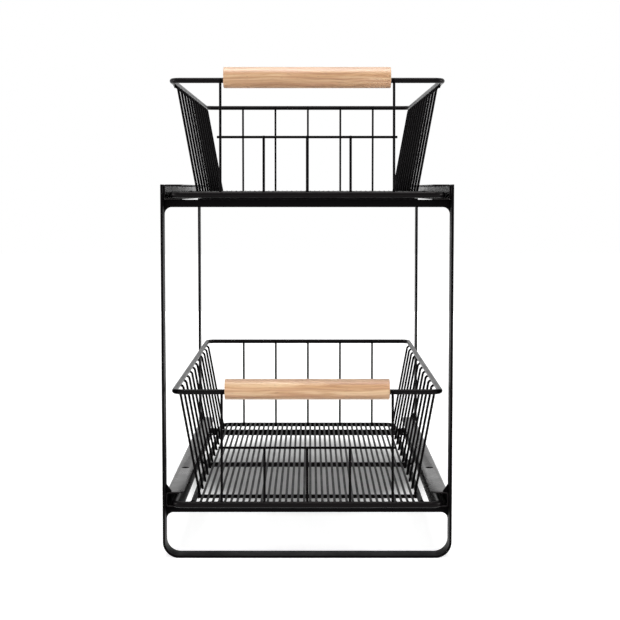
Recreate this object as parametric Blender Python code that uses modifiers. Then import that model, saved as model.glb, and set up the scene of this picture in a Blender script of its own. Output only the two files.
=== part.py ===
"""Two-tier pull-out drawer unit: a strap and channel frame that carries two welded wire drawers.

Run with: blender --background --python part.py
Metres, +Z up. The drawers pull out towards -Y. The origin is on the floor, under the middle of the unit.
"""

import math

import bmesh
import bpy
from mathutils import Vector

# Clearances shared by all pieces
GAP = 0.0003
WELD_SINK = 0.0004
CUT_OVERRUN = 0.002

# Leg frames: flat bar bent into a U, one at the front and one at the rear
FRAME_WIDTH = 0.250
FRAME_DEPTH = 0.458
STRAP_WIDTH = 0.020
STRAP_THICKNESS = 0.002
FOOT_BEND = 0.014

# Rails: C channels of sheet steel that open towards the middle
LOWER_RAIL_BASE = 0.0431
TIER_PITCH = 0.2665
RAIL_HEIGHT = 0.013
RAIL_DEPTH = 0.0152
RAIL_SHEET = 0.0012
RAIL_BEND = 0.0018
RAIL_SETBACK = 0.0095
RAIL_CORNER = 0.006
RAIL_HOLE = 0.007
RAIL_HOLE_PLACE = 0.118

# Crossbars under the rails, with ends that flare down the leg, and the gussets above the rails
CROSSBAR_HEIGHT = 0.0062
CROSSBAR_THICKNESS = 0.0025
CROSSBAR_FLARE = 0.0060
GUSSET_WIDTH = 0.005
GUSSET_HEIGHT = 0.007
GUSSET_THICKNESS = 0.002

# Runner wire of a drawer: slides in the two rails and crosses the front
RUNNER_WIRE = 0.0055
RUNNER_PLAY = 0.0035
RUNNER_LEAD = 0.002
RUNNER_BEND = 0.009
RUNNER_REACH = 0.407
TAIL_BEND = 0.0085

# Floor of a drawer: thick rods round the edge, thin wires front to back between them
FLOOR_ROD = 0.0045
FLOOR_SIDE_SPACE = 0.0065
FLOOR_BACK_INSET = 0.011
FLOOR_CORNER = 0.011
FLOOR_CORNER_LEG = 0.006
FLOOR_WIRE = 0.0022
FLOOR_WIRE_COUNT = 36
FOOT_CLEARANCE = 0.0015

# Cross wires under the floor, placed from the wall wires: one before the first, two in the middle of a bay
CROSS_WIRE = 0.0035
FRONT_CROSS_LEAD = 0.0037
MIDDLE_CROSS_BAY = 4
REAR_CROSS_BAY = 10

# Rim of a drawer
RIM_WIRE = 0.0045
RIM_HEIGHT = 0.0968
RIM_SIDE_CLEARANCE = 0.0054
RIM_FRONT_INSET = 0.0067
RIM_BACK_INSET = 0.009
RIM_CORNER = 0.009

# Wall wires of a drawer
SIDE_WIRE = 0.0022
SIDE_WIRE_COUNT = 12
SIDE_WIRE_FRONT_SPACE = 0.035
SIDE_WIRE_BACK_SPACE = 0.025
SIDE_HOOK_RADIUS = 0.0035
SIDE_HOOK_REACH = 0.0024
UPRIGHT_WIRE = 0.0022
UPRIGHT_STEP = 7
MID_WIRE = 0.0022
MID_WIRE_HEIGHT = 0.0488
MID_WIRE_OVERHANG = 0.003

# Handle: a wooden dowel with a groove along its underside
HANDLE_DIAMETER = 0.018
HANDLE_LIFT = 0.0023
HANDLE_EDGE = 0.001
HANDLE_END_SPACE = 0.0016

# Facets: the sides of a bevelled wire are four and two for each of these
THICK_WIRE_SIDES = 3
THIN_WIRE_SIDES = 2
BEND_STEPS = 4
HOOK_STEPS = 2
FOOT_STEPS = 8
HANDLE_STEPS = 28
GROOVE_STEPS = 8
HOLE_STEPS = 20

# Places that follow from the sizes above
FRONT_Y = -(FRAME_DEPTH - RUNNER_LEAD - RUNNER_WIRE / 2) / 2
LEG_INNER = FRAME_WIDTH / 2 - STRAP_THICKNESS
LEG_TOP = LOWER_RAIL_BASE + TIER_PITCH + RAIL_HEIGHT
RAIL_OUTER = LEG_INNER - GAP
RAIL_INNER = RAIL_OUTER - RAIL_DEPTH
RAIL_LENGTH = FRAME_DEPTH - 2 * RAIL_SETBACK

# Places in a drawer, from the middle of its runner wire and the front face of the frame
RUNNER_HEIGHT = RAIL_SHEET + GAP + RUNNER_WIRE / 2
RUNNER_X = RAIL_OUTER - RAIL_SHEET - RUNNER_PLAY - RUNNER_WIRE / 2
RUNNER_BACK_FACE = -RUNNER_LEAD + RUNNER_WIRE / 2
ROD_X = RAIL_INNER - FLOOR_SIDE_SPACE - FLOOR_ROD / 2
ROD_Z = (RUNNER_WIRE - FLOOR_ROD) / 2
BACK_ROD_Y = FRAME_DEPTH - FLOOR_BACK_INSET
BACK_ROD_LEG_Y = BACK_ROD_Y - FLOOR_CORNER - FLOOR_CORNER_LEG
FLOOR_WIRE_Z = (RUNNER_WIRE - FLOOR_WIRE) / 2
FOOT_X = ROD_X - FLOOR_ROD / 2 - SIDE_WIRE / 2 + WELD_SINK
FLOOR_EDGE_X = FOOT_X - SIDE_WIRE / 2 - FOOT_CLEARANCE - FLOOR_WIRE / 2
FLOOR_PITCH = 2 * FLOOR_EDGE_X / (FLOOR_WIRE_COUNT - 1)
CROSS_WIRE_Z = FLOOR_WIRE_Z - FLOOR_WIRE / 2 - CROSS_WIRE / 2
UPRIGHT_PITCH = UPRIGHT_STEP * FLOOR_PITCH
UPRIGHT_FOOT_Z = RUNNER_WIRE / 2 + GAP
UPRIGHT_TOP_Z = RIM_HEIGHT + RIM_WIRE / 2
RIM_X = LEG_INNER - RIM_SIDE_CLEARANCE - RIM_WIRE / 2
RIM_FRONT_Y = RIM_FRONT_INSET
RIM_BACK_Y = FRAME_DEPTH - RIM_BACK_INSET
RIM_UPRIGHT_OFFSET = RIM_WIRE / 2 + GAP + UPRIGHT_WIRE / 2
HOOK_X = RIM_X - SIDE_HOOK_REACH
HOOK_Z = RIM_HEIGHT - RIM_WIRE / 2 - GAP - SIDE_WIRE / 2
SIDE_WIRE_FIRST_Y = RIM_FRONT_Y + SIDE_WIRE_FRONT_SPACE
SIDE_WIRE_LAST_Y = RIM_BACK_Y - SIDE_WIRE_BACK_SPACE
SIDE_WIRE_PITCH = (SIDE_WIRE_LAST_Y - SIDE_WIRE_FIRST_Y) / (SIDE_WIRE_COUNT - 1)

# Finishes: colour and roughness, neither of them metallic to the eye
SATIN_BLACK = ("satin_black_coat", (0.011, 0.011, 0.012, 1), 0.4)
PALE_WOOD = ("pale_wood", (0.79, 0.51, 0.28, 1), 0.5)


def clear_scene():
    for item in list(bpy.data.objects):
        bpy.data.objects.remove(item)


def new_collection(name):
    group = bpy.data.collections.new(name)
    bpy.context.scene.collection.children.link(group)
    return group


def add_object(name, data, parent=None):
    item = bpy.data.objects.new(name, data)
    item.parent = parent
    parts.objects.link(item)
    return item


def set_finish(item, finish=SATIN_BLACK):
    """Gives a piece its own material."""
    finish_name, colour, roughness = finish
    material = bpy.data.materials.new(f"{item.name}_{finish_name}")
    material.use_nodes = True
    shader = material.node_tree.nodes["Principled BSDF"]
    shader.inputs["Base Color"].default_value = colour
    shader.inputs["Roughness"].default_value = roughness
    shader.inputs["Metallic"].default_value = 0
    item.data.materials.clear()
    item.data.materials.append(material)


def make_cutter(item):
    """Hides a piece that only shapes another, and puts it with the cutters."""
    item.hide_render = True
    item.display_type = "WIRE"
    parts.objects.unlink(item)
    cutters.objects.link(item)


def rounded_path(corners, radius, steps, closed=False):
    """A path through corner points, with each inner corner turned as an arc of the given radius."""
    points = [Vector(corner) for corner in corners]
    count = len(points)
    path = []
    for index, corner in enumerate(points):
        if not closed and index in (0, count - 1):
            path.append(corner)
            continue
        before = (points[index - 1] - corner).normalized()
        after = (points[(index + 1) % count] - corner).normalized()
        half_angle = before.angle(after) / 2
        reach = radius / math.tan(half_angle)
        centre = corner + (before + after).normalized() * radius / math.sin(half_angle)
        first = corner + before * reach - centre
        last = corner + after * reach - centre
        sweep = first.angle(last)
        for step in range(steps + 1):
            turn = sweep * step / steps
            arm = first * math.sin(sweep - turn) + last * math.sin(turn)
            path.append(centre + arm / math.sin(sweep))
    return path


def wires(name, paths, diameter, parent, sides=THIN_WIRE_SIDES, closed=False):
    """A curve object with one round wire along each path."""
    curve = bpy.data.curves.new(name, "CURVE")
    curve.dimensions = "3D"
    curve.bevel_depth = diameter / 2
    curve.bevel_resolution = sides
    curve.use_fill_caps = not closed
    for path in paths:
        spline = curve.splines.new("POLY")
        spline.points.add(len(path) - 1)
        for point, place in zip(spline.points, path):
            point.co = (*place, 1)
        spline.use_cyclic_u = closed
        spline.use_smooth = True
    return add_object(name, curve, parent)


def plate(name, outline, thickness):
    """A flat curve object: an outline in local X and Y, with its thickness along local Z."""
    curve = bpy.data.curves.new(name, "CURVE")
    curve.dimensions = "2D"
    curve.fill_mode = "BOTH"
    curve.extrude = thickness / 2
    spline = curve.splines.new("POLY")
    spline.points.add(len(outline) - 1)
    for point, place in zip(spline.points, outline):
        point.co = (place[0], place[1], 0, 1)
    spline.use_cyclic_u = True
    return add_object(name, curve)


def to_mesh(item):
    """Replaces a curve object by a mesh object in the same place, with its caps welded on."""
    graph = bpy.context.evaluated_depsgraph_get()
    mesh = bpy.data.meshes.new_from_object(item.evaluated_get(graph))
    shell = bmesh.new()
    shell.from_mesh(mesh)
    bmesh.ops.remove_doubles(shell, verts=shell.verts, dist=GAP / 10)
    bmesh.ops.recalc_face_normals(shell, faces=shell.faces)
    shell.to_mesh(mesh)
    shell.free()
    mesh.shade_smooth()
    mesh.set_sharp_from_angle(angle=math.radians(50))
    name = item.name
    solid = add_object(name, mesh, item.parent)
    solid.matrix_world = item.matrix_world
    bpy.data.objects.remove(item)
    solid.name = name
    return solid


def combine(item, other, operation):
    """Adds an exact Boolean to a mesh object, with the other object as its cutter."""
    step = item.modifiers.new(operation.lower(), "BOOLEAN")
    step.operation = operation
    step.solver = "EXACT"
    step.object = other
    make_cutter(other)


def folded_strip(name, profile, length, thickness):
    """A strip folded along a profile in X and Z and run along +Y; its wall lies to the profile's left."""
    mesh = bpy.data.meshes.new(name)
    shell = bmesh.new()
    front = [shell.verts.new((point.x, 0, point.z)) for point in profile]
    back = [shell.verts.new((point.x, length, point.z)) for point in profile]
    for index in range(len(profile) - 1):
        shell.faces.new((front[index], front[index + 1], back[index + 1], back[index]))
    shell.to_mesh(mesh)
    shell.free()
    item = add_object(name, mesh)
    wall = item.modifiers.new("wall", "SOLIDIFY")
    wall.thickness = thickness
    wall.offset = 1
    wall.use_even_offset = True
    return item


def leg_frame(name, front_y):
    """A U of flat bar: two legs and the foot bar that lies on the floor."""
    side = FRAME_WIDTH / 2
    corners = [(-side, 0, LEG_TOP), (-side, 0, 0), (side, 0, 0), (side, 0, LEG_TOP)]
    item = folded_strip(name, rounded_path(corners, FOOT_BEND, FOOT_STEPS), STRAP_WIDTH, STRAP_THICKNESS)
    item.location = (0, front_y, 0)
    set_finish(item)


def rail_trim(name, side, place):
    """The outline of a rail from above, with its inner corners rounded, as a block taller than the rail."""
    inner, beyond = RAIL_INNER, RAIL_OUTER + CUT_OVERRUN
    front, back = -CUT_OVERRUN, RAIL_LENGTH + CUT_OVERRUN
    corners = [(beyond, 0, 0), (inner, 0, 0), (inner, RAIL_LENGTH, 0), (beyond, RAIL_LENGTH, 0)]
    rounded = rounded_path(corners, RAIL_CORNER, BEND_STEPS)
    outline = [(side * point.x, point.y) for point in rounded]
    outline += [(side * (beyond + CUT_OVERRUN), back), (side * (beyond + CUT_OVERRUN), front)]
    block = plate(name + "_trim", outline, RAIL_HEIGHT + 2 * CUT_OVERRUN)
    block.location = place + Vector((0, 0, RAIL_HEIGHT / 2))
    return to_mesh(block)


def rail_hole(name, side, place):
    """A round cutter through the top flange, over the middle of the runner wire."""
    mesh = bpy.data.meshes.new(name + "_hole")
    drill = bmesh.new()
    bmesh.ops.create_cone(drill, cap_ends=True, segments=HOLE_STEPS, radius1=RAIL_HOLE / 2,
                          radius2=RAIL_HOLE / 2, depth=2 * CUT_OVERRUN + RAIL_SHEET)
    drill.to_mesh(mesh)
    drill.free()
    hole = add_object(name + "_hole", mesh)
    hole.location = place + Vector((side * RUNNER_X, RAIL_HOLE_PLACE, RAIL_HEIGHT - RAIL_SHEET / 2))
    return hole


def rail(name, side, base_z):
    """A C channel with its open side to the middle, rounded inner corners and a hole in its top flange."""
    corners = [(RAIL_INNER, 0, 0), (RAIL_OUTER, 0, 0),
               (RAIL_OUTER, 0, RAIL_HEIGHT), (RAIL_INNER, 0, RAIL_HEIGHT)]
    profile = rounded_path(corners, RAIL_BEND, HOOK_STEPS)
    if side < 0:
        profile = [Vector((-point.x, 0, point.z)) for point in reversed(profile)]
    place = Vector((0, FRONT_Y + RAIL_SETBACK, base_z))
    item = folded_strip(name, profile, RAIL_LENGTH, RAIL_SHEET)
    item.location = place
    combine(item, rail_trim(name, side, place), "INTERSECT")
    combine(item, rail_hole(name, side, place), "DIFFERENCE")
    set_finish(item)


def crossbar(name, middle_y, rail_base):
    """A flat bar on edge between two legs, flared at both ends by a quarter round."""
    end = LEG_INNER - GAP
    top = rail_base - GAP
    bottom = top - CROSSBAR_HEIGHT
    flare = []
    for step in range(BEND_STEPS + 1):
        turn = math.pi / 2 * step / BEND_STEPS
        flare.append((end - CROSSBAR_FLARE * (1 - math.sin(turn)),
                      bottom - CROSSBAR_FLARE * (1 - math.cos(turn))))
    mirrored = [(-x, z) for x, z in reversed(flare)]
    item = plate(name, [(-end, top), *mirrored, *flare, (end, top)], CROSSBAR_THICKNESS)
    item.rotation_euler = (math.pi / 2, 0, 0)
    item.location = (0, middle_y, 0)
    set_finish(item)


def gusset(name, side, middle_y, base_z):
    """A small triangle that stands on a rail's top flange, in the corner with the leg."""
    corner = LEG_INNER - GAP
    outline = [(side * corner, base_z), (side * corner, base_z + GUSSET_HEIGHT),
               (side * (corner - GUSSET_WIDTH), base_z)]
    item = plate(name, outline, GUSSET_THICKNESS)
    item.rotation_euler = (math.pi / 2, 0, 0)
    item.location = (0, middle_y, 0)
    set_finish(item)


def build_frame():
    rear_leg_y = FRONT_Y + FRAME_DEPTH - STRAP_WIDTH
    leg_frame("front_leg_frame", FRONT_Y)
    leg_frame("rear_leg_frame", rear_leg_y)
    front_bar_y = FRONT_Y + STRAP_WIDTH - CROSSBAR_THICKNESS / 2
    rear_bar_y = rear_leg_y + CROSSBAR_THICKNESS / 2
    for tier, rail_base in (("lower", LOWER_RAIL_BASE), ("upper", LOWER_RAIL_BASE + TIER_PITCH)):
        crossbar(tier + "_front_crossbar", front_bar_y, rail_base)
        crossbar(tier + "_rear_crossbar", rear_bar_y, rail_base)
        rail(tier + "_left_rail", -1, rail_base)
        rail(tier + "_right_rail", 1, rail_base)
    gusset_z = LOWER_RAIL_BASE + RAIL_HEIGHT + GAP
    gusset_inset = RAIL_SETBACK + RAIL_BEND + GUSSET_THICKNESS / 2
    for end, place in (("front", FRONT_Y + gusset_inset),
                       ("rear", FRONT_Y + FRAME_DEPTH - gusset_inset)):
        gusset(f"lower_{end}_left_gusset", -1, place, gusset_z)
        gusset(f"lower_{end}_right_gusset", 1, place, gusset_z)


def runner_wire(tier, slide):
    """One thick wire: across the front, back along both rails, and in to the floor rods."""
    tail_x = ROD_X + FLOOR_ROD / 2 + GAP
    front = -RUNNER_LEAD
    back = front + RUNNER_REACH
    front_turn = rounded_path([(-RUNNER_X, back / 2, 0), (-RUNNER_X, front, 0),
                               (RUNNER_X, front, 0), (RUNNER_X, back / 2, 0)], RUNNER_BEND, BEND_STEPS)
    right_tail = rounded_path([(RUNNER_X, back / 2, 0), (RUNNER_X, back, 0), (tail_x, back, 0)],
                              TAIL_BEND, BEND_STEPS)
    left_tail = [Vector((-point.x, point.y, point.z)) for point in reversed(right_tail)]
    path = left_tail[:-1] + front_turn[1:-1] + right_tail[1:]
    set_finish(wires(tier + "_runner_wire", [path], RUNNER_WIRE, slide, THICK_WIRE_SIDES))


def side_wire_path(side, place):
    """From the outer side of the rim, under it, and down and in to the floor rod."""
    lean = (HOOK_X - FOOT_X) / (HOOK_Z - ROD_Z)
    below = FLOOR_ROD / 2
    corners = [(side * (RIM_X + RIM_WIRE / 2), place, HOOK_Z), (side * HOOK_X, place, HOOK_Z),
               (side * (FOOT_X - lean * below), place, ROD_Z - below)]
    return rounded_path(corners, SIDE_HOOK_RADIUS, HOOK_STEPS)


def side_wall(name, side, slide):
    """The floor rod of one side with its wall wires welded to its inner face."""
    rod_path = [(side * ROD_X, RUNNER_BACK_FACE + GAP, ROD_Z), (side * ROD_X, BACK_ROD_LEG_Y - GAP, ROD_Z)]
    rod = to_mesh(wires(name, [rod_path], FLOOR_ROD, slide))
    places = [SIDE_WIRE_FIRST_Y + SIDE_WIRE_PITCH * step for step in range(SIDE_WIRE_COUNT)]
    paths = [side_wire_path(side, place) for place in places]
    combine(rod, to_mesh(wires(name + "_wires", paths, SIDE_WIRE, slide)), "UNION")
    set_finish(rod)


def floor_back_rod(tier, slide):
    """The rod along the back of the floor, bent forward at both ends to meet the side rods."""
    corners = [(-ROD_X, BACK_ROD_LEG_Y, ROD_Z), (-ROD_X, BACK_ROD_Y, ROD_Z),
               (ROD_X, BACK_ROD_Y, ROD_Z), (ROD_X, BACK_ROD_LEG_Y, ROD_Z)]
    path = rounded_path(corners, FLOOR_CORNER, BEND_STEPS)
    set_finish(wires(tier + "_floor_back_rod", [path], FLOOR_ROD, slide))


def cross_wire(name, place, height, slide):
    reach = ROD_X - FLOOR_ROD / 2 - GAP
    return wires(name, [[(-reach, place, height), (reach, place, height)]], CROSS_WIRE, slide)


def floor_wire_back(x):
    """Where a floor wire ends: short of the back rod, which curves forward at its two corners."""
    inside_bend = FLOOR_CORNER - FLOOR_ROD / 2 - 2 * GAP
    past_bend = max(0, abs(x) + FLOOR_WIRE / 2 - (ROD_X - FLOOR_CORNER))
    straight = BACK_ROD_Y - FLOOR_ROD / 2 - GAP
    return min(straight, BACK_ROD_Y - FLOOR_CORNER + math.sqrt(inside_bend ** 2 - past_bend ** 2))


def floor(tier, slide):
    """Thin wires between the front runner and the back rod, welded to the middle one of three cross wires."""
    front = RUNNER_BACK_FACE + GAP
    paths = []
    for step in range(FLOOR_WIRE_COUNT):
        x = -FLOOR_EDGE_X + FLOOR_PITCH * step
        paths.append([(x, front, FLOOR_WIRE_Z), (x, floor_wire_back(x), FLOOR_WIRE_Z)])
    front_y = SIDE_WIRE_FIRST_Y - FRONT_CROSS_LEAD
    middle_y = SIDE_WIRE_FIRST_Y + SIDE_WIRE_PITCH * (MIDDLE_CROSS_BAY + 0.5)
    rear_y = SIDE_WIRE_FIRST_Y + SIDE_WIRE_PITCH * (REAR_CROSS_BAY + 0.5)
    middle = to_mesh(cross_wire(tier + "_floor_mesh", middle_y, CROSS_WIRE_Z + WELD_SINK, slide))
    combine(middle, to_mesh(wires(tier + "_long_wires", paths, FLOOR_WIRE, slide)), "UNION")
    set_finish(middle)
    set_finish(cross_wire(tier + "_front_cross_wire", front_y, CROSS_WIRE_Z - GAP, slide))
    set_finish(cross_wire(tier + "_rear_cross_wire", rear_y, CROSS_WIRE_Z - GAP, slide))


def rim(tier, slide):
    """The closed top wire of a drawer."""
    corners = [(-RIM_X, RIM_FRONT_Y, RIM_HEIGHT), (RIM_X, RIM_FRONT_Y, RIM_HEIGHT),
               (RIM_X, RIM_BACK_Y, RIM_HEIGHT), (-RIM_X, RIM_BACK_Y, RIM_HEIGHT)]
    path = rounded_path(corners, RIM_CORNER, BEND_STEPS, closed=True)
    set_finish(wires(tier + "_rim", [path], RIM_WIRE, slide, THICK_WIRE_SIDES, closed=True))


def front_plane_y(height):
    """Where the middle line of a front upright is at a height: it leans back from the runner to the rim."""
    foot_y = -RUNNER_LEAD
    top_y = RIM_FRONT_Y - RIM_UPRIGHT_OFFSET
    return foot_y + (top_y - foot_y) * (height - UPRIGHT_FOOT_Z) / (RIM_HEIGHT - UPRIGHT_FOOT_Z)


def front_upright(name, x, top, slide):
    path = [(x, front_plane_y(UPRIGHT_FOOT_Z), UPRIGHT_FOOT_Z), (x, front_plane_y(top), top)]
    set_finish(wires(name, [path], UPRIGHT_WIRE, slide))


def front_wall(tier, slide):
    """Two uprights from the front runner to the rim, three short ones and the wire that joins them."""
    outer_x = 2 * UPRIGHT_PITCH
    front_upright(tier + "_front_left_upright", -outer_x, UPRIGHT_TOP_Z, slide)
    front_upright(tier + "_front_right_upright", outer_x, UPRIGHT_TOP_Z, slide)
    for number, step in enumerate((-1, 0, 1), 1):
        front_upright(f"{tier}_front_short_upright_{number}", step * UPRIGHT_PITCH,
                      MID_WIRE_HEIGHT + MID_WIRE / 2, slide)
    mid_y = front_plane_y(MID_WIRE_HEIGHT) + UPRIGHT_WIRE / 2 + GAP + MID_WIRE / 2
    end = outer_x + MID_WIRE_OVERHANG
    path = [(-end, mid_y, MID_WIRE_HEIGHT), (end, mid_y, MID_WIRE_HEIGHT)]
    set_finish(wires(tier + "_front_mid_wire", [path], MID_WIRE, slide))


def back_wall(tier, slide):
    """Five uprights between the back rod of the floor and the rim."""
    y = RIM_BACK_Y - RIM_UPRIGHT_OFFSET
    foot = ROD_Z + FLOOR_ROD / 2 + GAP
    for number, step in enumerate(range(-2, 3), 1):
        path = [(step * UPRIGHT_PITCH, y, foot), (step * UPRIGHT_PITCH, y, UPRIGHT_TOP_Z)]
        set_finish(wires(f"{tier}_back_upright_{number}", [path], UPRIGHT_WIRE, slide))


def handle_outline():
    """The dowel's section in Y and Z: a circle with a round-ended groove that opens downwards."""
    radius = HANDLE_DIAMETER / 2
    groove = RIM_WIRE / 2 + GAP
    mouth = math.asin(groove / radius)
    outline = []
    for step in range(HANDLE_STEPS + 1):
        turn = mouth - math.pi / 2 + 2 * (math.pi - mouth) * step / HANDLE_STEPS
        outline.append((radius * math.cos(turn), radius * math.sin(turn)))
    for step in range(GROOVE_STEPS + 1):
        turn = math.pi - math.pi * step / GROOVE_STEPS
        outline.append((groove * math.cos(turn), groove * math.sin(turn) - HANDLE_LIFT))
    return outline


def handle(tier, slide):
    """A dowel pressed down onto the front of the rim, between the two tall uprights."""
    half_length = 2 * UPRIGHT_PITCH - UPRIGHT_WIRE / 2 - HANDLE_END_SPACE
    name = tier + "_handle"
    item = to_mesh(plate(name, handle_outline(), 2 * half_length))
    item.parent = slide
    item.rotation_euler = (math.pi / 2, 0, math.pi / 2)
    item.location = (0, RIM_FRONT_Y, RIM_HEIGHT + HANDLE_LIFT)
    edge = item.modifiers.new("edge", "BEVEL")
    edge.width = HANDLE_EDGE
    edge.segments = 2
    edge.limit_method = "ANGLE"
    edge.angle_limit = math.radians(60)
    set_finish(item, PALE_WOOD)


def build_drawer(tier, rail_base):
    """One wire drawer, built round an empty on the middle line of its front runner."""
    slide = add_object(tier + "_drawer_slide", None)
    slide.location = (0, FRONT_Y, rail_base + RUNNER_HEIGHT)
    runner_wire(tier, slide)
    side_wall(tier + "_left_side_wall", -1, slide)
    side_wall(tier + "_right_side_wall", 1, slide)
    floor_back_rod(tier, slide)
    floor(tier, slide)
    rim(tier, slide)
    front_wall(tier, slide)
    back_wall(tier, slide)
    handle(tier, slide)


clear_scene()
parts = new_collection("two_tier_drawer_unit")
cutters = new_collection("cutters")
build_frame()
build_drawer("lower", LOWER_RAIL_BASE)
build_drawer("upper", LOWER_RAIL_BASE + TIER_PITCH)
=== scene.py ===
import math

import bpy
import numpy as np
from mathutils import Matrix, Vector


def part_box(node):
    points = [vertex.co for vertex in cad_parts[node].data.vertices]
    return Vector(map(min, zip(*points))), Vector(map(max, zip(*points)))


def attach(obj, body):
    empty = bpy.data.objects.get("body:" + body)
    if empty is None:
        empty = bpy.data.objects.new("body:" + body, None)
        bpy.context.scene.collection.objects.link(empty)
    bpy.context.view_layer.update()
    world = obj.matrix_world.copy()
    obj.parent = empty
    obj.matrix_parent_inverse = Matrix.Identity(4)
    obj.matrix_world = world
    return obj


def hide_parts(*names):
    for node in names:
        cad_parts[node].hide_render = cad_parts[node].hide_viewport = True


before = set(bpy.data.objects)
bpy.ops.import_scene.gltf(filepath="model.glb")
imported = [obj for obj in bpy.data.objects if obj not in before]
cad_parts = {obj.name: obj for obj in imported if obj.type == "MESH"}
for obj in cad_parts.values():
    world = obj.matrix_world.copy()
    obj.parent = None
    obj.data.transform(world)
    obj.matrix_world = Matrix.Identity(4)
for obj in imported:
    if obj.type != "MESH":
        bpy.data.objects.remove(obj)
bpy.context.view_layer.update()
print("frame loaded:", len(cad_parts), "nodes")

alongX, alongY, alongZ = np.eye(3)

# resistance welds, in metres: how deep a wire sinks into its neighbour, the swollen foot of a butt weld, the
# rounded edge of a sheared end, and the ball of squeezed metal, as its last latitude in radians and its rows
# and columns; then that metal's half sizes in X, Y and Z, at each place where two wires cross
weld = {"sink": 0.0003, "footLength": 0.0016, "footGrow": 0.35, "cutEdge": 0.0003,
        "spotTilt": 1.25, "spotRows": 5, "spotColumns": 8}
squeezedMetal = {"rimAtSide": (0.0016, 0.0014, 0.0006), "rodAtSide": (0.0006, 0.0014, 0.0017),
                 "underFloor": (0.0015, 0.0017, 0.0006), "rimAtUpright": (0.0014, 0.0006, 0.0016),
                 "midWire": (0.0013, 0.0006, 0.0013)}


def nodeBox(name):
    low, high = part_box(name)
    return np.array(low), np.array(high)


def unitRows(vectors):
    return vectors / np.linalg.norm(vectors, axis=-1, keepdims=True)


def bentPath(corners, bendRadius, closed=False, bendSteps=14):
    # straight runs between corners; at each corner an arc that touches both runs:
    # point = centre + (start * sin(sweep - turn) + end * sin(turn)) / sin(sweep)
    corners = np.asarray(corners, float)
    toLast = unitRows(np.roll(corners, 1, 0) - corners)
    toNext = unitRows(np.roll(corners, -1, 0) - corners)
    if not closed:
        corners, toLast, toNext, ends = corners[1:-1], toLast[1:-1], toNext[1:-1], corners[[0, -1]]
    half = np.arccos(np.sum(toLast * toNext, axis=1, keepdims=True)) / 2
    radius = np.broadcast_to(np.reshape(bendRadius, (-1, 1)), half.shape)
    centre = corners + unitRows(toLast + toNext) * radius / np.sin(half)
    start = corners + toLast * radius / np.tan(half) - centre
    end = corners + toNext * radius / np.tan(half) - centre
    sweep = (math.pi - 2 * half)[:, None]
    turn = sweep * np.linspace(0, 1, bendSteps + 1)[None, :, None]
    arcs = (start[:, None] * np.sin(sweep - turn) + end[:, None] * np.sin(turn)) / np.sin(sweep)
    points = (arcs + centre[:, None]).reshape(-1, corners.shape[1])
    return points if closed else np.vstack([ends[:1], points, ends[1:]])


def gridShape(points, rowsClose=False):
    # joins a grid of points into quads: columns always close into a ring, rows only on a closed path,
    # and an open path gets a cap at each end
    rows, columns = points.shape[:2]
    index = np.arange(rows * columns).reshape(rows, columns)
    after = np.roll(index, -1, 0) if rowsClose else index[1:]
    here = index if rowsClose else index[:-1]
    quads = np.stack([here, after, np.roll(after, -1, 1), np.roll(here, -1, 1)], axis=-1).reshape(-1, 4)
    caps = [] if rowsClose else [index[0].tolist(), index[-1, ::-1].tolist()]
    return points.reshape(-1, 3), quads, caps


def sweep(path, planeNormal, profiles, closed=False):
    # a profile carried along a flat path: point = path + p * across + q * plane normal,
    # across being the path's direction turned a quarter turn in the path's own plane
    ahead = np.roll(path, -1, 0) - path
    behind = path - np.roll(path, 1, 0)
    if not closed:
        ahead[-1], behind[0] = behind[-1], ahead[0]
    direction = unitRows(unitRows(ahead) + unitRows(behind))
    across = np.cross(direction, planeNormal)
    points = path[:, None] + profiles[..., :1] * across[:, None] + profiles[..., 1:] * planeNormal
    return gridShape(points, rowsClose=closed)


def circle(sides):
    turn = np.linspace(0, 2 * math.pi, sides, endpoint=False)
    return np.stack([np.cos(turn), np.sin(turn)], axis=-1)


def cutEnd(radius):
    # the sheared end of a wire: its edge is a quarter round, radius(distance) = r - e * (1 - sin)
    turn = np.linspace(0, math.pi / 2, 4)
    return weld["cutEdge"] * (1 - np.cos(turn)), radius - weld["cutEdge"] * (1 - np.sin(turn))


def weldFoot(radius):
    # the foot of a butt weld: radius(distance) = r * (1 + grow * (1 - distance / length) squared)
    share = np.linspace(0, 1, 7)
    return weld["footLength"] * share, radius * (1 + weld["footGrow"] * (1 - share) ** 2)


def wire(path, planeNormal, thickness, ends=(cutEnd, cutEnd), sides=16, closed=False):
    # a round wire along a flat path; each end is a function that gives distances and radii
    path = np.asarray(path, float)
    radius = thickness / 2
    if closed:
        radii = np.full(len(path), radius)
    else:
        startPlace, startRadius = ends[0](radius)
        endPlace, endRadius = ends[1](radius)
        first = path[0] + unitRows(path[1] - path[0]) * startPlace[:, None]
        last = path[-1] + unitRows(path[-2] - path[-1]) * endPlace[::-1, None]
        path = np.vstack([first, path[1:-1], last])
        radii = np.concatenate([startRadius, np.full(len(path) - len(first) - len(last), radius), endRadius[::-1]])
    return sweep(path, planeNormal, circle(sides)[None] * radii[:, None, None], closed)


def insetOutline(outline, amount):
    # moves each point of a closed anticlockwise outline inwards, square to both of its edges
    ahead = unitRows(np.roll(outline, -1, 0) - outline)
    behind = unitRows(outline - np.roll(outline, 1, 0))
    inward = np.stack([-(ahead + behind)[:, 1], (ahead + behind)[:, 0]], axis=-1)
    return outline + inward * amount * 2 / np.sum(inward ** 2, axis=1, keepdims=True)


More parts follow.
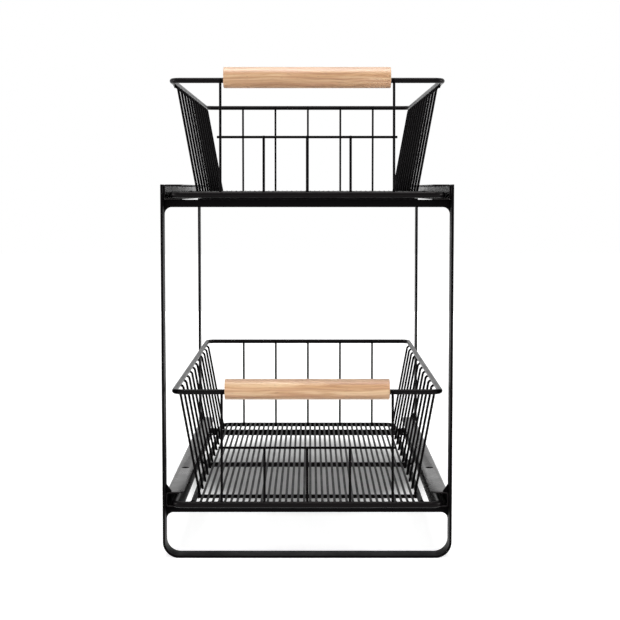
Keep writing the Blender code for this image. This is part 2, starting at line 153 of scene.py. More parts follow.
def prism(outlines, places, ease, planeP, planeQ):
    # a closed outline in the directions P and Q run along P x Q, its two end edges eased by a quarter round
    along = np.cross(planeP, planeQ)
    turn = np.linspace(0, math.pi / 2, 5)
    steps, insets = ease * (1 - np.cos(turn)), ease * (1 - np.sin(turn))
    places = np.concatenate([places[0] + steps, places[1:-1], places[-1] - steps[::-1]])
    insets = np.concatenate([insets, np.zeros(len(places) - 2 * len(steps)), insets[::-1]])
    flat = np.array([insetOutline(outlines(place), inset) for place, inset in zip(places, insets)])
    points = flat[..., :1] * planeP + flat[..., 1:] * planeQ + places[:, None, None] * along
    return gridShape(points[::-1])


def weldSpots(places, where):
    # the metal squeezed out where two wires cross: point = place + half sizes * a ball's latitude and longitude
    rows, columns = weld["spotRows"], weld["spotColumns"]
    latitude = np.linspace(-weld["spotTilt"], weld["spotTilt"], rows)[:, None]
    longitude = np.linspace(0, 2 * math.pi, columns, endpoint=False)[None]
    ball = np.stack([np.cos(latitude) * np.cos(longitude), np.cos(latitude) * np.sin(longitude),
                     np.broadcast_to(np.sin(latitude), (rows, columns))], axis=-1)
    return [gridShape((place + ball * squeezedMetal[where])[::-1]) for place in np.asarray(places, float)]


def makeMesh(name, shapes):
    # several shapes in one mesh: each shape's faces are counted on from the points before it
    starts = np.cumsum([0] + [len(points) for points, _, _ in shapes[:-1]])
    points = np.vstack([shape[0] for shape in shapes])
    faces = [row for start, shape in zip(starts, shapes) for row in (shape[1] + start).tolist()]
    faces += [[start + i for i in cap] for start, shape in zip(starts, shapes) for cap in shape[2]]
    mesh = bpy.data.meshes.new(name)
    mesh.from_pydata(points.tolist(), [], faces)
    return mesh


def addPiece(name, shapes, material, body, node=None, sharpAngle=40):
    mesh = makeMesh(name, shapes)
    mesh.materials.append(material)
    mesh.shade_smooth()
    mesh.set_sharp_from_angle(angle=math.radians(sharpAngle))
    piece = bpy.data.objects.new(name, mesh)
    bpy.context.scene.collection.objects.link(piece)
    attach(piece, body)
    if node:
        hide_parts(node)
    return piece


def hexToLinear(code):
    srgb = np.array([int(code[i:i + 2], 16) for i in (1, 3, 5)]) / 255
    linear = np.where(srgb <= 0.04045, srgb / 12.92, ((srgb + 0.055) / 1.055) ** 2.4)
    return (*linear.tolist(), 1.0)


def addNode(tree, kind, inputs=None, **settings):
    # adds one node; an input is a fixed value, or the output socket that feeds it
    node = tree.nodes.new(kind)
    for key, value in settings.items():
        setattr(node, key, value)
    for key, value in (inputs or {}).items():
        if isinstance(value, bpy.types.NodeSocket):
            tree.links.new(value, node.inputs[key])
        else:
            node.inputs[key].default_value = value
    return node


def setRamp(node, stops):
    ramp = node.color_ramp
    while len(ramp.elements) < len(stops):
        ramp.elements.new(1)
    for element, (place, colour) in zip(ramp.elements, stops):
        element.position = place
        element.color = colour


# powder coat flows out smooth and a little glossy on flat sheet, and comes out duller the thinner the wire
sheetCoat = {"name": "satinPowderCoatOnSheet", "roughLow": 0.24, "roughHigh": 0.32, "specular": 0.2}
rodCoat = {"name": "satinPowderCoatOnRod", "roughLow": 0.26, "roughHigh": 0.34, "specular": 0.08}
wireCoat = {"name": "satinPowderCoatOnWire", "roughLow": 0.38, "roughHigh": 0.48, "specular": 0.03}
powderCoat = {"colour": "#080708", "specularTint": "#FFF4F4", "ior": 1.5, "peelWidth": 0.0014,
              "peelDepth": 0.0000025, "patchWidth": 0.03, "patchDetail": 3.0, "patchRange": (0.3, 0.7)}


def makePowderCoat(kind):
    # polyester powder coat, baked satin: nearly black, a broad soft highlight, and the faint dimpled skin
    # that powder coat has; the dimples are about 0.7 mm in life and drawn at twice that, to show at all
    material = bpy.data.materials.new(kind["name"])
    material.use_nodes = True
    tree = material.node_tree
    shader = tree.nodes["Principled BSDF"]
    place = addNode(tree, "ShaderNodeTexCoord").outputs["Object"]
    patches = addNode(tree, "ShaderNodeTexNoise",
                      {"Vector": place, "Scale": 1 / powderCoat["patchWidth"], "Detail": powderCoat["patchDetail"]})
    smooth, dull = powderCoat["patchRange"]
    rough = addNode(tree, "ShaderNodeMapRange",
                    {"Value": patches.outputs["Fac"], "From Min": smooth, "From Max": dull,
                     "To Min": kind["roughLow"], "To Max": kind["roughHigh"]})
    peel = addNode(tree, "ShaderNodeTexNoise",
                   {"Vector": place, "Scale": 1 / powderCoat["peelWidth"], "Detail": 1.0})
    bump = addNode(tree, "ShaderNodeBump",
                   {"Height": peel.outputs["Fac"], "Distance": powderCoat["peelDepth"], "Strength": 1.0})
    tree.links.new(rough.outputs["Result"], shader.inputs["Roughness"])
    tree.links.new(bump.outputs["Normal"], shader.inputs["Normal"])
    shader.inputs["Base Color"].default_value = hexToLinear(powderCoat["colour"])
    shader.inputs["IOR"].default_value = powderCoat["ior"]
    shader.inputs["Specular IOR Level"].default_value = kind["specular"]
    shader.inputs["Specular Tint"].default_value = hexToLinear(powderCoat["specularTint"])
    return material


# tones: place on the ramp and colour of each; streakFlat: how many times wider a streak is in Y than in Z
# streakNoise: detail, roughness and distortion; pores and blush: from, to, and how much at most
wood = {"tones": ((0.33, "#A77242"), (0.49, "#C79666"), (0.66, "#E6C194")), "pore": "#70421F", "blush": "#D19672",
        "streakLength": 0.08, "streakWidth": 0.0032, "streakFlat": 2, "streakNoise": (3.0, 0.55, 0.6),
        "waverLength": 0.04, "waverSide": 0.004,
        "poreLength": 0.006, "poreWidth": 0.0005, "poreDepth": 0.00008, "poreBump": 0.6,
        "poreRange": (0.69, 0.76, 0.5),
        "blushLength": 0.05, "blushWidth": 0.006, "blushRange": (0.48, 0.66, 0.3),
        "ior": 1.47, "roughness": 0.42, "specular": 1.0, "sheen": 0.5, "sheenRoughness": 0.6}


def makeHandleWood():
    # rubberwood turned and sanded, clear matt oil: pale straw with tan streaks along the dowel, short dark
    # pores, and a soft bloom towards its edges from the sanded fibres; the pores are about 0.25 mm wide in
    # life and drawn at twice that
    material = bpy.data.materials.new("oiledRubberwood")
    material.use_nodes = True
    tree = material.node_tree
    shader = tree.nodes["Principled BSDF"]
    place = addNode(tree, "ShaderNodeTexCoord").outputs["Object"]
    waver = addNode(tree, "ShaderNodeTexNoise", {"Vector": place, "Scale": 1 / wood["waverLength"], "Detail": 1.0})
    grown = addNode(tree, "ShaderNodeVectorMath", {
        0: waver.outputs["Color"], 1: (0, wood["waverSide"], wood["waverSide"]), 2: place}, operation="MULTIPLY_ADD")
    streakSpace = addNode(tree, "ShaderNodeMapping", {
        "Vector": grown.outputs["Vector"],
        "Scale": (1 / wood["streakLength"], 1 / wood["streakWidth"] / wood["streakFlat"], 1 / wood["streakWidth"])})
    detail, roughness, distortion = wood["streakNoise"]
    streaks = addNode(tree, "ShaderNodeTexNoise", {
        "Vector": streakSpace.outputs["Vector"], "Scale": 1.0, "Detail": detail, "Roughness": roughness,
        "Distortion": distortion})
    tones = addNode(tree, "ShaderNodeValToRGB", {"Fac": streaks.outputs["Fac"]})
    setRamp(tones, [(stop, hexToLinear(code)) for stop, code in wood["tones"]])
    poreSpace = addNode(tree, "ShaderNodeMapping", {
        "Vector": place, "Scale": (1 / wood["poreLength"], 1 / wood["poreWidth"], 1 / wood["poreWidth"])})
    pores = addNode(tree, "ShaderNodeTexNoise", {"Vector": poreSpace.outputs["Vector"], "Scale": 1.0, "Detail": 1.0})
    start, end, most = wood["poreRange"]
    poreMask = addNode(tree, "ShaderNodeMapRange", {
        "Value": pores.outputs["Fac"], "From Min": start, "From Max": end, "To Min": 0.0, "To Max": most})
    blushSpace = addNode(tree, "ShaderNodeMapping", {
        "Vector": place, "Scale": (1 / wood["blushLength"], 1 / wood["blushWidth"], 1 / wood["blushWidth"])})
    blush = addNode(tree, "ShaderNodeTexNoise", {"Vector": blushSpace.outputs["Vector"], "Scale": 1.0, "Detail": 2.0})
    start, end, most = wood["blushRange"]
    blushMask = addNode(tree, "ShaderNodeMapRange", {
        "Value": blush.outputs["Fac"], "From Min": start, "From Max": end, "To Min": 0.0, "To Max": most})
    warm = addNode(tree, "ShaderNodeMix", {
        0: blushMask.outputs["Result"], 6: tones.outputs["Color"], 7: hexToLinear(wood["blush"])}, data_type="RGBA")
    colour = addNode(tree, "ShaderNodeMix", {
        0: poreMask.outputs["Result"], 6: warm.outputs[2], 7: hexToLinear(wood["pore"])}, data_type="RGBA")
    bump = addNode(tree, "ShaderNodeBump", {
        "Height": poreMask.outputs["Result"], "Distance": wood["poreDepth"], "Strength": wood["poreBump"]},
        invert=True)
    tree.links.new(colour.outputs[2], shader.inputs["Base Color"])
    tree.links.new(bump.outputs["Normal"], shader.inputs["Normal"])
    shader.inputs["Roughness"].default_value = wood["roughness"]
    shader.inputs["IOR"].default_value = wood["ior"]
    shader.inputs["Specular IOR Level"].default_value = wood["specular"]
    shader.inputs["Sheen Weight"].default_value = wood["sheen"]
    shader.inputs["Sheen Roughness"].default_value = wood["sheenRoughness"]
    return material


onSheet, onRod, onWire = [makePowderCoat(kind) for kind in (sheetCoat, rodCoat, wireCoat)]
handleWood = makeHandleWood()
print("materials made")

legFrame = {"thickness": 0.002, "outsideBend": 0.014, "edge": 0.0005, "endInset": 0.8}


def makeLegFrame(node, name):
    # a flat bar's section, a rectangle with eased corners, carried down one leg, under and up the other
    low, high = nodeBox(node)
    half = legFrame["thickness"] / 2
    side, middleY = high[0] - half, (low[1] + high[1]) / 2
    corners = [(-side, middleY, high[2]), (-side, middleY, half), (side, middleY, half), (side, middleY, high[2])]
    path = bentPath(corners, legFrame["outsideBend"] - half, bendSteps=24)
    width = (high[1] - low[1]) / 2
    section = bentPath([(-half, -width), (half, -width), (half, width), (-half, width)],
                       legFrame["edge"], closed=True, bendSteps=5)
    turn = np.linspace(0, math.pi / 2, 4)
    steps = legFrame["edge"] * (1 - np.cos(turn))
    insets = legFrame["endInset"] * legFrame["edge"] * (1 - np.sin(turn))
    first = path[0] - alongZ * steps[:, None]
    last = path[-1] - alongZ * steps[::-1, None]
    ends = np.array([insetOutline(section, inset) for inset in insets])
    profiles = np.concatenate([ends, np.broadcast_to(section, (len(path) - 2, *section.shape)), ends[::-1]])
    shape = sweep(np.vstack([first, path[1:-1], last]), alongY, profiles)
    addPiece(name, [shape], onWire, "frame", node)


rail = {"sheet": 0.0012, "outsideBend": 0.0018, "cornerRound": 0.006, "edge": 0.00035,
        "holeAcross": 0.007, "holeFromEnd": 0.118, "holeEase": 0.0004, "holeSides": 32, "sharpAngle": 30,
        "runnerPlay": 0.0035, "runnerWire": 0.0055, "reachToLeg": 0.0003}


def railOutline(depth, height, inset):
    # the folded sheet's section seen along +Y, for a rail on the right: P is across, Q is up;
    # both free edges draw back by the inset, and the folds are arcs round the same centres
    sheet, bend = rail["sheet"], rail["outsideBend"]
    outer = bentPath([(inset, 0), (depth, 0), (depth, height), (inset, height)], bend, bendSteps=6)
    inner = bentPath([(inset, height - sheet), (depth - sheet, height - sheet), (depth - sheet, sheet),
                      (inset, sheet)], bend - sheet, bendSteps=6)
    edge = rail["edge"]
    turn = np.linspace(0, math.pi, 7)[1:-1, None]
    outer[[0, -1], 0] += edge
    inner[[0, -1], 0] += edge
    half = sheet / 2
    topNose = np.hstack([inset + edge - edge * np.sin(turn), height - half + half * np.cos(turn)])
    bottomNose = np.hstack([inset + edge - edge * np.sin(turn), half + half * np.cos(turn)])
    return np.vstack([outer, topNose, inner, bottomNose])


def drillFlange(piece, place):
    # the cutter is a spool, wider at both faces of the sheet so that the hole's edges come out eased:
    # depth = e * (1 - cos turn), radius = r + e * (1 - sin turn)
    sheet, ease = rail["sheet"], rail["holeEase"]
    turn = np.linspace(0, math.pi / 2, 5)
    depth, radius = ease * (1 - np.cos(turn)), rail["holeAcross"] / 2 + ease * (1 - np.sin(turn))
    depth = np.concatenate([[-sheet], depth, sheet - depth[::-1], [2 * sheet]])
    radius = np.concatenate([radius[:1], radius, radius[::-1], radius[:1]])
    ring = circle(rail["holeSides"])
    points = np.concatenate([ring[None] * radius[:, None, None],
                             np.broadcast_to(-depth[:, None, None], (len(depth), len(ring), 1))], axis=-1)
    cutter = bpy.data.objects.new("spool", makeMesh("spool", [gridShape(points + place)]))
    bpy.context.scene.collection.objects.link(cutter)
    cut = piece.modifiers.new("hole", "BOOLEAN")
    cut.operation, cut.solver, cut.object = "DIFFERENCE", "EXACT", cutter
    drilled = bpy.data.meshes.new_from_object(piece.evaluated_get(bpy.context.evaluated_depsgraph_get()))
    piece.modifiers.remove(cut)
    bpy.data.objects.remove(cutter)
    piece.data = drilled
    drilled.shade_smooth()
    drilled.set_sharp_from_angle(angle=math.radians(rail["sharpAngle"]))


def makeRail(node, name, side):
    low, high = nodeBox(node)
    depth, height = high[0] - low[0] + rail["reachToLeg"], high[2] - low[2]
    start, finish = low[1], high[1]
    inner = low[0] if side > 0 else -high[0]

    def outlineAt(y):
        # near each end the free edges follow the corner's arc: inset = R - sqrt(R squared - (R - distance) squared)
        radius = rail["cornerRound"]
        short = max(0, radius - min(y - start, finish - y))
        return railOutline(depth, height, radius - math.sqrt(radius ** 2 - min(short, radius) ** 2))

    turn = np.linspace(0, math.pi / 2, 12)
    corner = rail["cornerRound"] * (1 - np.cos(turn))
    places = np.concatenate([start + corner, finish - corner[::-1]])
    shape = prism(outlineAt, places, rail["edge"], alongX, alongZ)
    points = shape[0] * (1, -1, 1) + (inner, 0, low[2])
    if side < 0:
        points = points * (-1, 1, 1)
    flip = side > 0
    quads = shape[1][:, ::-1] if flip else shape[1]
    caps = [cap[::-1] for cap in shape[2]] if flip else shape[2]
    piece = addPiece(name, [(points, quads, caps)], onSheet, "frame", node)
    outer = high[0] if side > 0 else -low[0]
    middle = outer - rail["sheet"] - rail["runnerPlay"] - rail["runnerWire"] / 2
    drillFlange(piece, (side * middle, start + rail["holeFromEnd"], high[2]))


crossbar = {"barHeight": 0.0062, "flare": 0.006, "edge": 0.0004, "reach": 0.0003}
gusset = {"edge": 0.0004, "reach": 0.0003}


def makeCrossbar(node, name):
    # a bar on edge whose underside flares down at both ends in a quarter round, from the bar to the leg
    low, high = nodeBox(node)
    side, top = high[0] + crossbar["reach"], high[2] + crossbar["reach"]
    bottom = top - crossbar["barHeight"] - crossbar["reach"]
    turn = np.linspace(0, math.pi / 2, 12)
    flareX = side - crossbar["flare"] * (1 - np.sin(turn))
    flareZ = bottom - crossbar["flare"] * (1 - np.cos(turn))
    right = np.stack([flareX, flareZ], axis=-1)
    outline = np.vstack([right, [(side, top), (-side, top)], (right * (-1, 1))[::-1]])
    shape = prism(lambda place: outline, np.array([-high[1], -low[1]]), crossbar["edge"], alongX, alongZ)
    addPiece(name, [shape], onWire, "frame", node)


def makeGusset(node, name, side):
    low, high = nodeBox(node)
    outer = high[0] if side > 0 else -low[0]
    inner = low[0] if side > 0 else -high[0]
    corners = np.array([(outer + gusset["reach"], low[2] - gusset["reach"]), (outer + gusset["reach"], high[2]),
                        (inner, low[2] - gusset["reach"])])
    if side < 0:
        corners = (corners * (-1, 1))[::-1]
    outline = bentPath(corners, gusset["edge"], closed=True, bendSteps=4)
    shape = prism(lambda place: outline, np.array([-high[1], -low[1]]), gusset["edge"], alongX, alongZ)
    addPiece(name, [shape], onWire, "frame", node)


makeLegFrame("front_leg_frame", "frontLegFrame")
makeLegFrame("rear_leg_frame", "rearLegFrame")
for tier in ("lower", "upper"):
    for end in ("front", "rear"):
        makeCrossbar(f"{tier}_{end}_crossbar", f"{tier}{end.title()}Crossbar")
    for handName, side in (("left", -1), ("right", 1)):
        makeRail(f"{tier}_{handName}_rail", f"{tier}{handName.title()}Rail", side)
for end in ("front", "rear"):
    for handName, side in (("left", -1), ("right", 1)):
        makeGusset(f"lower_{end}_{handName}_gusset", f"lower{end.title()}{handName.title()}Gusset", side)
print("frame dressed")

rimWire = {"thickness": 0.0045, "cornerBend": 0.009}


def makeRim(tier, body):
    low, high = nodeBox(tier + "_rim")
    radius = rimWire["thickness"] / 2
    left, right, front, back = low[0] + radius, high[0] - radius, low[1] + radius, high[1] - radius
    height = (low[2] + high[2]) / 2
    corners = [(left, front, height), (right, front, height), (right, back, height), (left, back, height)]
    path = bentPath(corners, rimWire["cornerBend"], closed=True, bendSteps=18)
    addPiece(tier + "Rim", [wire(path, alongZ, rimWire["thickness"], sides=28, closed=True)], onRod, body,
             tier + "_rim")


runnerWire = {"thickness": 0.0055, "frontBend": 0.009, "tailBend": 0.0085}


def makeRunner(tier, body, rodX):
    low, high = nodeBox(tier + "_runner_wire")
    radius = runnerWire["thickness"] / 2
    side, front, back, height = high[0] - radius, low[1] + radius, high[1] - radius, (low[2] + high[2]) / 2
    tail = rodX + floorRod["thickness"] / 2 - weld["sink"] * 2
    corners = [(-tail, back, height), (-side, back, height), (-side, front, height),
               (side, front, height), (side, back, height), (tail, back, height)]
    bends = [runnerWire["tailBend"], runnerWire["frontBend"], runnerWire["frontBend"], runnerWire["tailBend"]]
    path = bentPath(corners, bends, bendSteps=18)
    shape = wire(path, alongZ, runnerWire["thickness"], (weldFoot, weldFoot), sides=28)
    addPiece(tier + "RunnerWire", [shape], onRod, body, tier + "_runner_wire")


floorRod = {"thickness": 0.0045, "cornerBend": 0.011, "startSink": 0.0003}


def makeBackRod(tier, body):
    low, high = nodeBox(tier + "_floor_back_rod")
    radius = floorRod["thickness"] / 2
    side, back, height = high[0] - radius, high[1] - radius, (low[2] + high[2]) / 2
    start = low[1] - floorRod["startSink"]
    corners = [(-side, start, height), (-side, back, height), (side, back, height), (side, start, height)]
    path = bentPath(corners, floorRod["cornerBend"], bendSteps=18)
    addPiece(tier + "FloorBackRod", [wire(path, alongZ, floorRod["thickness"], sides=24)], onWire, body,
             tier + "_floor_back_rod")
    return side, back, height, start


sideWires = {"thickness": 0.0022, "count": 12, "frontSpace": 0.035, "backSpace": 0.025, "hookBend": 0.003,
             "hookReach": 0.0024, "hookPastRim": 0.0007, "footSink": 0.0004, "rodSink": 0.0008}


def makeSideWall(tier, body, side, rodX, rodHeight, rodBack):
    handName = "left" if side < 0 else "right"
    frontY = nodeBox(f"{tier}_{handName}_side_wall")[0][1] - sideWires["rodSink"]
    rimLow, rimHigh = nodeBox(tier + "_rim")
    radius, rimRadius, rodRadius = sideWires["thickness"] / 2, rimWire["thickness"] / 2, floorRod["thickness"] / 2
    rod = wire([(side * rodX, frontY, rodHeight), (side * rodX, rodBack, rodHeight)], alongZ,
               floorRod["thickness"], (weldFoot, cutEnd), sides=24)
    rimX, rimFront, rimBack = rimHigh[0] - rimRadius, rimLow[1] + rimRadius, rimHigh[1] - rimRadius
    rimHeight = (rimLow[2] + rimHigh[2]) / 2
    hookZ = rimHeight - rimRadius - radius + weld["sink"]
    hookX = rimX - sideWires["hookReach"]
    footX = rodX - rodRadius - radius + sideWires["footSink"]
    # the wires lean outwards: lean = sideways run / height, carried on to the foot below the rod's middle
    lean = (hookX - footX) / (hookZ - rodHeight)
    places = np.linspace(rimFront + sideWires["frontSpace"], rimBack - sideWires["backSpace"], sideWires["count"])
    shapes = [rod]
    for y in places:
        corners = [(side * (rimX + sideWires["hookPastRim"]), y, hookZ), (side * hookX, y, hookZ),
                   (side * (footX - lean * rodRadius), y, rodHeight - rodRadius)]
        shapes.append(wire(bentPath(corners, sideWires["hookBend"], bendSteps=8), alongY, sideWires["thickness"],
                           sides=14))
    rimWelds = [(side * rimX, y, rimHeight - rimRadius) for y in places]
    rodWelds = [(side * (rodX - rodRadius), y, rodHeight) for y in places]
    shapes += weldSpots(rimWelds, "rimAtSide") + weldSpots(rodWelds, "rodAtSide")
    name = f"{tier}{handName.title()}SideWall"
    addPiece(name, shapes, onWire, body, f"{tier}_{handName}_side_wall")


floorWires = {"thickness": 0.0022, "count": 36, "fromRod": 0.00665, "frontSink": 0.0006}
crossWires = {"thickness": 0.0035, "rise": 0.0001, "middleBay": 4.5}


def middleCrossY(tier):
    # halfway along the fifth bay of the side wires
    rimLow, rimHigh = nodeBox(tier + "_rim")
    rimRadius = rimWire["thickness"] / 2
    first, last = rimLow[1] + rimRadius + sideWires["frontSpace"], rimHigh[1] - rimRadius - sideWires["backSpace"]
    return first + (last - first) / (sideWires["count"] - 1) * crossWires["middleBay"]


def makeFloor(tier, body, rodX, backY):
    low, high = nodeBox(tier + "_floor_mesh")
    radius, crossRadius = floorWires["thickness"] / 2, crossWires["thickness"] / 2
    height = high[2] - radius
    edge = rodX - floorWires["fromRod"]
    inside = floorRod["cornerBend"] - floorRod["thickness"] / 2 + weld["sink"]
    shapes = []
    xs = np.linspace(-edge, edge, floorWires["count"])
    for x in xs:
        # a wire near the side ends on the back rod's bend: end = bend's centre + sqrt(inside squared - past squared)
        past = max(0, abs(x) - (rodX - floorRod["cornerBend"]))
        back = backY - floorRod["cornerBend"] + math.sqrt(inside ** 2 - past ** 2)
        path = [(x, low[1] - floorWires["frontSink"], height), (x, back, height)]
        shapes.append(wire(path, alongZ, floorWires["thickness"], (weldFoot, weldFoot), sides=12))
    crossHeight = height - radius - crossRadius + weld["sink"] + crossWires["rise"]
    reach = rodX - floorRod["thickness"] / 2 + weld["sink"] * 2
    for place in ("middle", "front", "rear"):
        node = f"{tier}_{place}_cross_wire"
        y = middleCrossY(tier) if place == "middle" else (nodeBox(node)[0][1] + nodeBox(node)[1][1]) / 2
        cross = wire([(-reach, y, crossHeight), (reach, y, crossHeight)], alongZ, crossWires["thickness"],
                     (weldFoot, weldFoot), sides=20)
        crossAndWelds = [cross] + weldSpots([(x, y, height - radius) for x in xs], "underFloor")
        if place == "middle":
            shapes += crossAndWelds
        else:
            addPiece(f"{tier}{place.title()}CrossWire", crossAndWelds, onWire, body, node)
    addPiece(tier + "FloorMesh", shapes, onWire, body, tier + "_floor_mesh")


uprights = {"pastRim": 0.0008, "frontSink": 0.0007, "backSink": 0.0014, "midWireSinks": 1.5}


def makeFrontWall(tier, body):
    rimLow, rimHigh = nodeBox(tier + "_rim")
    rimFront, rimHeight = rimLow[1] + rimWire["thickness"] / 2, (rimLow[2] + rimHigh[2]) / 2
    midLow, midHigh = nodeBox(tier + "_front_mid_wire")
    midHeight = (midLow[2] + midHigh[2]) / 2
    midX, midY = [], []
    nodes = [("_front_left_upright", "FrontLeftUpright", True), ("_front_right_upright", "FrontRightUpright", True)]
    nodes += [(f"_front_short_upright_{n}", f"FrontShortUpright{n}", False) for n in (1, 2, 3)]
    for node, name, tall in nodes:
        low, high = nodeBox(tier + node)
        thickness = high[0] - low[0]
        x, foot, top = (low[0] + high[0]) / 2, low[1] + thickness / 2, high[1] - thickness / 2
        sink, end = (2 * weld["sink"], rimHeight + uprights["pastRim"]) if tall else (0, high[2])
        path = [(x, foot, low[2] - uprights["frontSink"]), (x, top + sink, end)]
        shapes = [wire(path, alongX, thickness, (weldFoot, cutEnd), sides=16)]
        # where the leaning upright meets the mid wire: y = foot + (top - foot) * share of the height
        wireY = foot + (top - foot) * (midHeight - low[2]) / (high[2] - low[2])
        midX.append(x)
        midY.append(wireY + thickness / 2)
        if tall:
            shapes += weldSpots([(x, rimFront - rimWire["thickness"] / 2, rimHeight)], "rimAtUpright")
        addPiece(tier + name, shapes, onWire, body, tier + node)
    thickness = midHigh[1] - midLow[1]
    y = (midLow[1] + midHigh[1]) / 2 - weld["sink"] * uprights["midWireSinks"]
    shapes = [wire([(midLow[0], y, midHeight), (midHigh[0], y, midHeight)], alongZ, thickness, sides=16)]
    shapes += weldSpots([(x, spotY, midHeight) for x, spotY in zip(midX, midY)], "midWire")
    addPiece(tier + "FrontMidWire", shapes, onWire, body, tier + "_front_mid_wire")


def makeBackWall(tier, body):
    rimLow, rimHigh = nodeBox(tier + "_rim")
    rimBack, rimHeight = rimHigh[1] - rimWire["thickness"] / 2, (rimLow[2] + rimHigh[2]) / 2
    for number in range(1, 6):
        node = f"{tier}_back_upright_{number}"
        low, high = nodeBox(node)
        thickness = high[0] - low[0]
        x, y = (low[0] + high[0]) / 2, (low[1] + high[1]) / 2
        path = [(x, y, low[2] - uprights["backSink"]), (x, y + 2 * weld["sink"], rimHeight + uprights["pastRim"])]
        shapes = [wire(path, alongX, thickness, (weldFoot, cutEnd), sides=16)]
        shapes += weldSpots([(x, rimBack - rimWire["thickness"] / 2, rimHeight)], "rimAtUpright")
        addPiece(f"{tier}BackUpright{number}", shapes, onWire, body, node)


handle = {"diameter": 0.018, "grooveClearance": 0.0001, "edge": 0.0006}


def makeHandle(tier, body):
    # a dowel's circle, open below into a round-ended groove that holds the rim;
    # the groove's mouth is at the angle whose sine is groove / dowel radius
    low, high = nodeBox(tier + "_handle")
    rimLow, rimHigh = nodeBox(tier + "_rim")
    radius = handle["diameter"] / 2
    centreY, centreZ = (low[1] + high[1]) / 2, high[2] - radius
    groove = rimWire["thickness"] / 2 + handle["grooveClearance"]
    grooveZ = (rimLow[2] + rimHigh[2]) / 2 - centreZ
    mouth = math.asin(groove / radius)
    turn = np.linspace(mouth - math.pi / 2, 1.5 * math.pi - mouth, 64)
    outside = np.stack([radius * np.cos(turn), radius * np.sin(turn)], axis=-1)
    turn = np.linspace(math.pi, 0, 17)
    inside = np.stack([groove * np.cos(turn), groove * np.sin(turn) + grooveZ], axis=-1)
    outline = np.vstack([outside, inside]) + (centreY, centreZ)
    shape = prism(lambda place: outline, np.array([low[0], high[0]]), handle["edge"], alongY, alongZ)
    addPiece(tier + "Handle", [shape], handleWood, body, tier + "_handle")


for tier in ("lower", "upper"):
    body = tier + "_drawer"
    rodX, rodBackY, rodHeight, rodJoint = makeBackRod(tier, body)
    makeRim(tier, body)
    makeRunner(tier, body, rodX)
    for side in (-1, 1):
        makeSideWall(tier, body, side, rodX, rodHeight, rodJoint)
    makeFloor(tier, body, rodX, rodBackY)
    makeFrontWall(tier, body)
    makeBackWall(tier, body)
    makeHandle(tier, body)
    print(tier, "drawer dressed")

# lamps: where each stands, its side, its power and whether it leaves a highlight
# painted shade: middle and half widths of a painted pool of shade under the back of the object, where the
# paper gets no glow; glow: how the paper brightens away from that painted pool, whose edge is at 1, and again
# far off, for camera and glossy rays only, as from, to and how much
studio = {"floorSize": 12.0, "floorColour": "#CCCCCC", "worldLevel": 0.16,
          "paintedShadeCentre": (0, 0.2), "paintedShadeHalf": (0.14, 0.22), "glow": ((0.75, 1.2, 0.75), (2.5, 9.0, 0.28)),
          "lamps": {"topSoftbox": ((0, -0.25, 1.75), 1.0, 22.0, True),
                    "frontFill": ((0, -2.4, 0.4), 1.4, 8.0, False),
                    "bounceCard": ((0, -0.95, 0.02), 0.5, 3.5, False),
                    "backFill": ((0, 2.4, 0.4), 1.4, 14.0, False),
                    "leftSoftbox": ((-1.6, -0.3, 0.6), 0.5, 9.0, True),
                    "rightSoftbox": ((1.6, -0.3, 0.6), 0.5, 9.0, True)}}


def makeFloorStage():
    half = studio["floorSize"] / 2
    mesh = bpy.data.meshes.new("studioFloor")
    mesh.from_pydata([(-half, -half, 0), (half, -half, 0), (half, half, 0), (-half, half, 0)], [], [(0, 1, 2, 3)])
    floorStage = bpy.data.objects.new("studioFloor", mesh)
    bpy.context.scene.collection.objects.link(floorStage)
    material = bpy.data.materials.new("whitePaperSweep")
    material.use_nodes = True
    tree = material.node_tree
    tree.nodes.remove(tree.nodes["Principled BSDF"])
    ray = addNode(tree, "ShaderNodeLightPath")
    seen = addNode(tree, "ShaderNodeMath", {0: ray.outputs["Is Camera Ray"], 1: ray.outputs["Is Glossy Ray"]},
                   operation="MAXIMUM")
    place = addNode(tree, "ShaderNodeTexCoord").outputs["Object"]
    # a painted pool of shade: the paper's glow is left out near the back of the object, so it looks shaded there
    (x, y), (halfX, halfY) = studio["paintedShadeCentre"], studio["paintedShadeHalf"]
    paintedShadePool = addNode(tree, "ShaderNodeMapping", {"Vector": place, "Location": (-x / halfX, -y / halfY, 0),
                                               "Scale": (1 / halfX, 1 / halfY, 1)})
    distance = addNode(tree, "ShaderNodeVectorMath", {0: paintedShadePool.outputs["Vector"]}, operation="LENGTH")
    near, far = [addNode(tree, "ShaderNodeMapRange", {"Value": distance.outputs["Value"], "From Min": start,
                                                      "From Max": end, "To Max": gain},
                         interpolation_type="SMOOTHSTEP") for start, end, gain in studio["glow"]]
    both = addNode(tree, "ShaderNodeMath", {0: near.outputs["Result"], 1: far.outputs["Result"]})
    level = addNode(tree, "ShaderNodeMath", {0: seen.outputs[0], 1: both.outputs[0]}, operation="MULTIPLY")
    glow = addNode(tree, "ShaderNodeEmission", {"Strength": level.outputs[0]})
    paper = addNode(tree, "ShaderNodeBsdfDiffuse", {"Color": hexToLinear(studio["floorColour"])})
    sweepShader = addNode(tree, "ShaderNodeAddShader", {0: paper.outputs[0], 1: glow.outputs[0]})
    tree.links.new(sweepShader.outputs[0], tree.nodes["Material Output"].inputs["Surface"])
    mesh.materials.append(material)


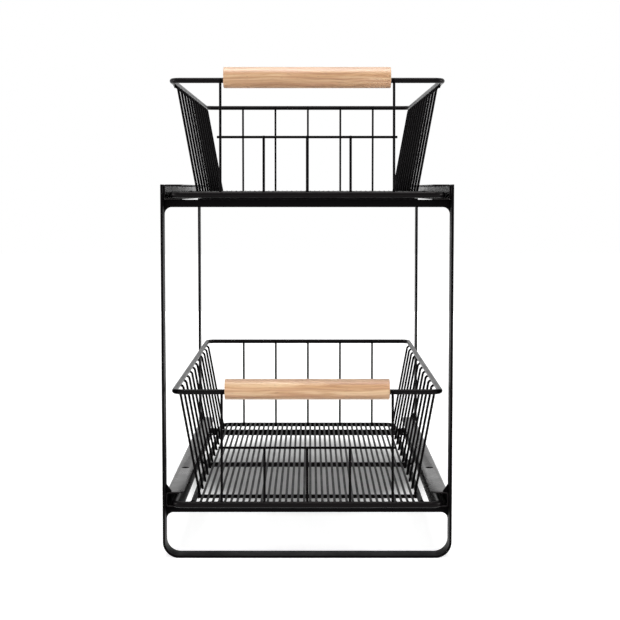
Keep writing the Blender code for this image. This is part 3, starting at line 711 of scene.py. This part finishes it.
def makeWorld():
    world = bpy.data.worlds.new("studioWorld")
    bpy.context.scene.world = world
    world.use_nodes = True
    tree = world.node_tree
    background = tree.nodes["Background"]
    ray = addNode(tree, "ShaderNodeLightPath")
    seen = addNode(tree, "ShaderNodeMath", {0: ray.outputs["Is Camera Ray"], 1: ray.outputs["Is Glossy Ray"]},
                   operation="MAXIMUM")
    seenToo = addNode(tree, "ShaderNodeMath", {0: seen.outputs[0], 1: ray.outputs["Is Transmission Ray"]},
                      operation="MAXIMUM")
    level = addNode(tree, "ShaderNodeMapRange", {"Value": seenToo.outputs[0], "To Min": studio["worldLevel"],
                                                 "To Max": 1.0})
    background.inputs["Color"].default_value = (1, 1, 1, 1)
    tree.links.new(level.outputs["Result"], background.inputs["Strength"])


def addSoftbox(name, place, size, power, leavesHighlight):
    data = bpy.data.lights.new(name, "AREA")
    data.shape = "SQUARE"
    data.size = size
    data.energy = power
    lamp = bpy.data.objects.new(name, data)
    lamp.location = place
    lamp.rotation_euler = (-lamp.location).to_track_quat("-Z", "Y").to_euler()
    lamp.visible_camera = False
    lamp.visible_glossy = leavesHighlight
    bpy.context.scene.collection.objects.link(lamp)


makeFloorStage()
makeWorld()
for name, settings in studio["lamps"].items():
    addSoftbox(name, *settings)

# the camera that took the photograph, solved from the edges of the object: focal length in pixels of a
# 620 pixel frame, distance in front of the frame's face, height, and how far it looks down
camera = {"focalPixels": 1533, "frameWidth": 620, "sensor": 36, "distance": 1.3067, "height": 0.3184,
          "sideways": 0.00241, "lookDown": 4.5}
cameraData = bpy.data.cameras.new("photoCamera")
cameraData.sensor_width = camera["sensor"]
cameraData.lens = camera["focalPixels"] * camera["sensor"] / camera["frameWidth"]
cameraObject = bpy.data.objects.new("photoCamera", cameraData)
frontY = nodeBox("front_leg_frame")[0][1]
cameraObject.location = (camera["sideways"], frontY - camera["distance"], camera["height"])
cameraObject.rotation_euler = (math.radians(90 - camera["lookDown"]), 0, 0)
bpy.context.scene.collection.objects.link(cameraObject)
bpy.context.scene.camera = cameraObject
bpy.context.scene.view_settings.view_transform = "Standard"
print("studio set")
